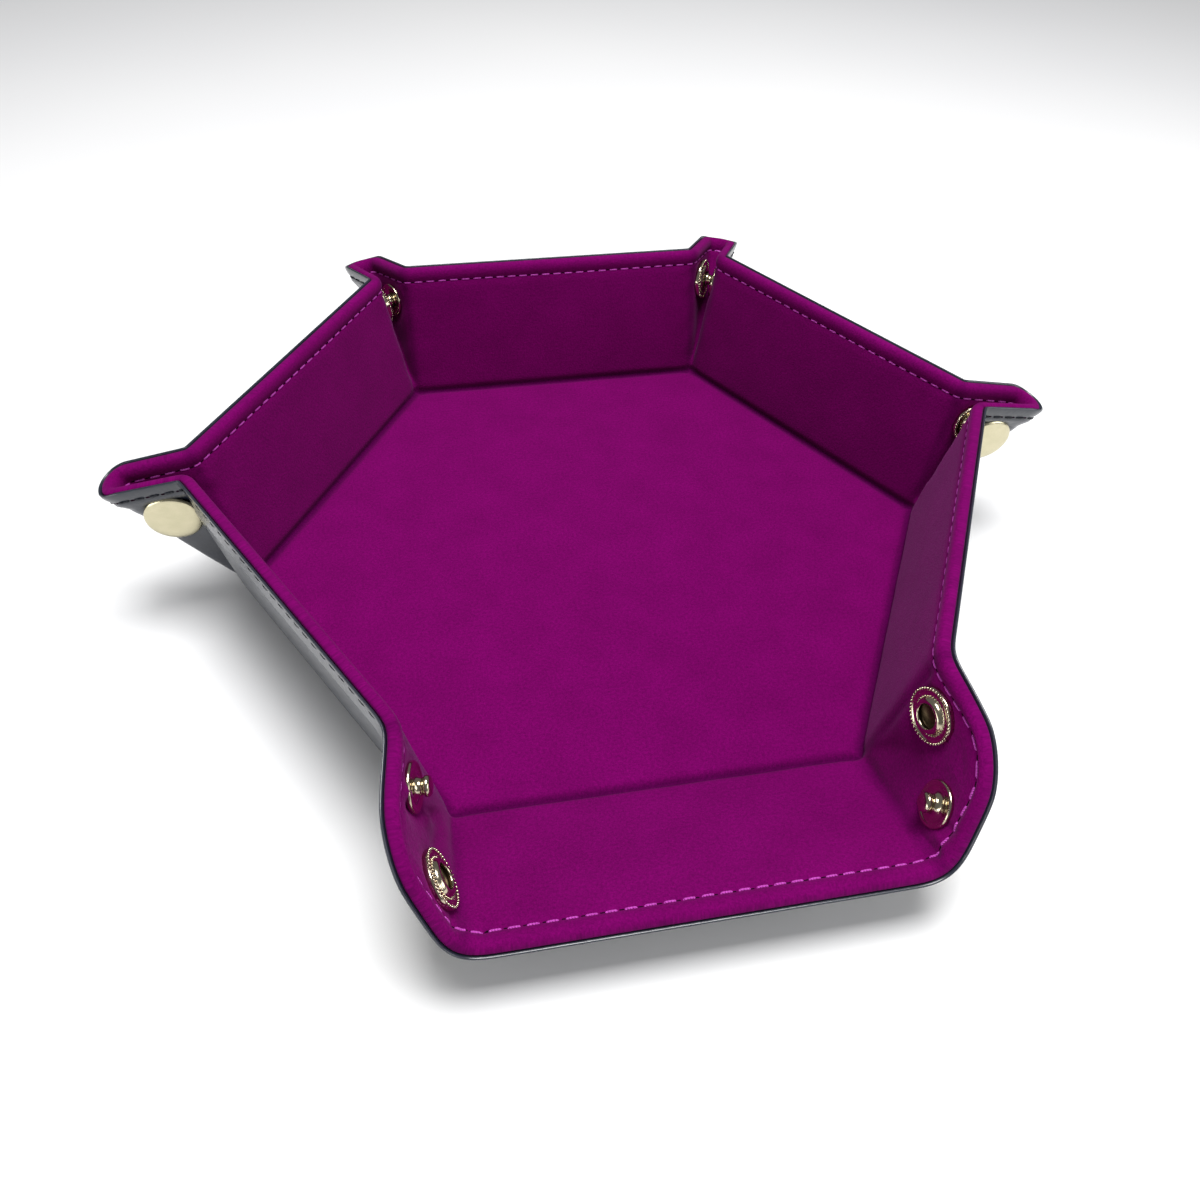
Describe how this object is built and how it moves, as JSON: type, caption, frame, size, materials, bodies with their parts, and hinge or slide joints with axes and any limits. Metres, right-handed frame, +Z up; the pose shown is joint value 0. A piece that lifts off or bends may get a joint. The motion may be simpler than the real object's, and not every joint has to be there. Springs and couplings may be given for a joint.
{
  "type": "folding dice tray",
  "caption": "Hexagonal folding dice tray: leather outside, velvet inside, hinged board walls and corner flaps that snap shut; front wall lowered, folds flat.",
  "frame": {"origin": "centre of the floor's underside, which stands on the table", "axes": "+Z up out of the tray, front (lowered) wall towards -Y, +X towards the right corner"},
  "size_m": [0.2544, 0.2412, 0.0463],
  "materials": {
    "leather": "satin",
    "lining": "matte",
    "board": "matte",
    "snap": "satin"
  },
  "bodies": {
    "floor": {"floor_leather": "leather", "floor_board": "board", "floor_lining": "lining"},
    "back_wall": {"back_wall_leather": "leather", "back_wall_board": "board", "back_wall_lining": "lining"},
    "back_left_wall": {"back_left_wall_leather": "leather", "back_left_wall_board": "board", "back_left_wall_lining": "lining"},
    "front_left_wall": {"front_left_wall_leather": "leather", "front_left_wall_board": "board", "front_left_wall_lining": "lining"},
    "front_wall": {"front_wall_leather": "leather", "front_wall_board": "board", "front_wall_lining": "lining"},
    "front_right_wall": {"front_right_wall_leather": "leather", "front_right_wall_board": "board", "front_right_wall_lining": "lining"},
    "back_right_wall": {"back_right_wall_leather": "leather", "back_right_wall_board": "board", "back_right_wall_lining": "lining"},
    "back_left_corner_stud_flap": {"back_left_corner_stud_flap_leather": "leather", "back_left_corner_stud_flap_lining": "lining", "back_left_corner_stud": "snap"},
    "back_left_corner_socket_flap": {"back_left_corner_socket_flap_leather": "leather", "back_left_corner_socket_flap_lining": "lining", "back_left_corner_socket": "snap"},
    "left_corner_stud_flap": {"left_corner_stud_flap_leather": "leather", "left_corner_stud_flap_lining": "lining", "left_corner_stud": "snap"},
    "left_corner_socket_flap": {"left_corner_socket_flap_leather": "leather", "left_corner_socket_flap_lining": "lining", "left_corner_socket": "snap"},
    "front_left_corner_stud_flap": {"front_left_corner_stud_flap_leather": "leather", "front_left_corner_stud_flap_lining": "lining", "front_left_corner_stud": "snap"},
    "front_left_corner_socket_flap": {"front_left_corner_socket_flap_leather": "leather", "front_left_corner_socket_flap_lining": "lining", "front_left_corner_socket": "snap"},
    "front_right_corner_stud_flap": {"front_right_corner_stud_flap_leather": "leather", "front_right_corner_stud_flap_lining": "lining", "front_right_corner_stud": "snap"},
    "front_right_corner_socket_flap": {"front_right_corner_socket_flap_leather": "leather", "front_right_corner_socket_flap_lining": "lining", "front_right_corner_socket": "snap"},
    "right_corner_stud_flap": {"right_corner_stud_flap_leather": "leather", "right_corner_stud_flap_lining": "lining", "right_corner_stud": "snap"},
    "right_corner_socket_flap": {"right_corner_socket_flap_leather": "leather", "right_corner_socket_flap_lining": "lining", "right_corner_socket": "snap"},
    "back_right_corner_stud_flap": {"back_right_corner_stud_flap_leather": "leather", "back_right_corner_stud_flap_lining": "lining", "back_right_corner_stud": "snap"},
    "back_right_corner_socket_flap": {"back_right_corner_socket_flap_leather": "leather", "back_right_corner_socket_flap_lining": "lining", "back_right_corner_socket": "snap"}
  },
  "joints": [
    {"name": "back_wall_fold", "type": "hinge", "parent": "floor", "child": "back_wall", "pos_m": [0, 0.0866, 0.004], "axis": [1, 0, 0], "range_deg": [-79.5, 0]},
    {"name": "back_left_wall_fold", "type": "hinge", "parent": "floor", "child": "back_left_wall", "pos_m": [-0.075, 0.0433, 0.004], "axis": [0.5, 0.866, 0], "range_deg": [-79.51, 0]},
    {"name": "front_left_wall_fold", "type": "hinge", "parent": "floor", "child": "front_left_wall", "pos_m": [-0.075, -0.0433, 0.004], "axis": [-0.5, 0.866, 0], "range_deg": [-79.51, 0]},
    {"name": "front_wall_fold", "type": "hinge", "parent": "floor", "child": "front_wall", "pos_m": [0, -0.0866, 0.004], "axis": [-1, 0, 0], "range_deg": [-20.51, 0]},
    {"name": "front_right_wall_fold", "type": "hinge", "parent": "floor", "child": "front_right_wall", "pos_m": [0.075, -0.0433, 0.004], "axis": [-0.5, -0.866, 0], "range_deg": [-79.51, 0]},
    {"name": "back_right_wall_fold", "type": "hinge", "parent": "floor", "child": "back_right_wall", "pos_m": [0.075, 0.0433, 0.004], "axis": [0.5, -0.866, 0], "range_deg": [-79.51, 0]},
    {"name": "back_left_corner_stud_flap_fold", "type": "hinge", "parent": "back_wall", "child": "back_left_corner_stud_flap", "pos_m": [-0.05, 0.0866, 0.004], "axis": [0, 0.1822, 0.9833], "range_deg": [0, 58.83]},
    {"name": "back_left_corner_crease_fold", "type": "hinge", "parent": "back_left_corner_stud_flap", "child": "back_left_corner_socket_flap", "pos_m": [-0.05, 0.0866, 0.004], "axis": [0.3141, -0.544, -0.7781], "range_deg": [0, 172.03]},
    {"name": "left_corner_stud_flap_fold", "type": "hinge", "parent": "back_left_wall", "child": "left_corner_stud_flap", "pos_m": [-0.1, 0, 0.004], "axis": [-0.1578, 0.0911, 0.9833], "range_deg": [0, 58.83]},
    {"name": "left_corner_crease_fold", "type": "hinge", "parent": "left_corner_stud_flap", "child": "left_corner_socket_flap", "pos_m": [-0.1, 0, 0.004], "axis": [0.6282, 0, -0.7781], "range_deg": [0, 172.03]},
    {"name": "front_left_corner_stud_flap_fold", "type": "hinge", "parent": "front_left_wall", "child": "front_left_corner_stud_flap", "pos_m": [-0.05, -0.0866, 0.004], "axis": [-0.1578, -0.0911, 0.9833], "range_deg": [0, 38.07]},
    {"name": "front_left_corner_socket_flap_fold", "type": "hinge", "parent": "front_wall", "child": "front_left_corner_socket_flap", "pos_m": [-0.05, -0.0866, 0.004], "axis": [0, -0.9367, 0.3502], "range_deg": [0, 67.94]},
    {"name": "front_right_corner_stud_flap_fold", "type": "hinge", "parent": "front_wall", "child": "front_right_corner_stud_flap", "pos_m": [0.05, -0.0866, 0.004], "axis": [0, -0.9367, 0.3502], "range_deg": [-67.94, 0]},
    {"name": "front_right_corner_socket_flap_fold", "type": "hinge", "parent": "front_right_wall", "child": "front_right_corner_socket_flap", "pos_m": [0.05, -0.0866, 0.004], "axis": [0.1578, -0.0911, 0.9833], "range_deg": [-38.07, 0]},
    {"name": "right_corner_stud_flap_fold", "type": "hinge", "parent": "front_right_wall", "child": "right_corner_stud_flap", "pos_m": [0.1, 0, 0.004], "axis": [0.1578, -0.0911, 0.9833], "range_deg": [0, 58.83]},
    {"name": "right_corner_crease_fold", "type": "hinge", "parent": "right_corner_stud_flap", "child": "right_corner_socket_flap", "pos_m": [0.1, 0, 0.004], "axis": [-0.6282, 0, -0.7781], "range_deg": [0, 172.03]},
    {"name": "back_right_corner_stud_flap_fold", "type": "hinge", "parent": "back_right_wall", "child": "back_right_corner_stud_flap", "pos_m": [0.05, 0.0866, 0.004], "axis": [0.1578, 0.0911, 0.9833], "range_deg": [0, 58.83]},
    {"name": "back_right_corner_crease_fold", "type": "hinge", "parent": "back_right_corner_stud_flap", "child": "back_right_corner_socket_flap", "pos_m": [0.05, 0.0866, 0.004], "axis": [-0.3141, -0.544, -0.7781], "range_deg": [0, 172.03]}
  ],
  "couplings": [
    {"joint": "back_left_wall_fold", "follows": "back_wall_fold", "ratio": 1},
    {"joint": "front_left_wall_fold", "follows": "back_wall_fold", "ratio": 1},
    {"joint": "front_wall_fold", "follows": "back_wall_fold", "ratio": 0.25786},
    {"joint": "front_right_wall_fold", "follows": "back_wall_fold", "ratio": 1},
    {"joint": "back_right_wall_fold", "follows": "back_wall_fold", "ratio": 1},
    {"joint": "back_left_corner_stud_flap_fold", "follows": "back_wall_fold", "ratio": -0.73992},
    {"joint": "back_left_corner_crease_fold", "follows": "back_wall_fold", "ratio": -2.1638},
    {"joint": "left_corner_stud_flap_fold", "follows": "back_wall_fold", "ratio": -0.73992},
    {"joint": "left_corner_crease_fold", "follows": "back_wall_fold", "ratio": -2.1638},
    {"joint": "front_left_corner_stud_flap_fold", "follows": "back_wall_fold", "ratio": -0.47873},
    {"joint": "front_left_corner_socket_flap_fold", "follows": "back_wall_fold", "ratio": -0.85452},
    {"joint": "front_right_corner_stud_flap_fold", "follows": "back_wall_fold", "ratio": 0.85452},
    {"joint": "front_right_corner_socket_flap_fold", "follows": "back_wall_fold", "ratio": 0.47873},
    {"joint": "right_corner_stud_flap_fold", "follows": "back_wall_fold", "ratio": -0.73992},
    {"joint": "right_corner_crease_fold", "follows": "back_wall_fold", "ratio": -2.1638},
    {"joint": "back_right_corner_stud_flap_fold", "follows": "back_wall_fold", "ratio": -0.73992},
    {"joint": "back_right_corner_crease_fold", "follows": "back_wall_fold", "ratio": -2.1638}
  ]
}
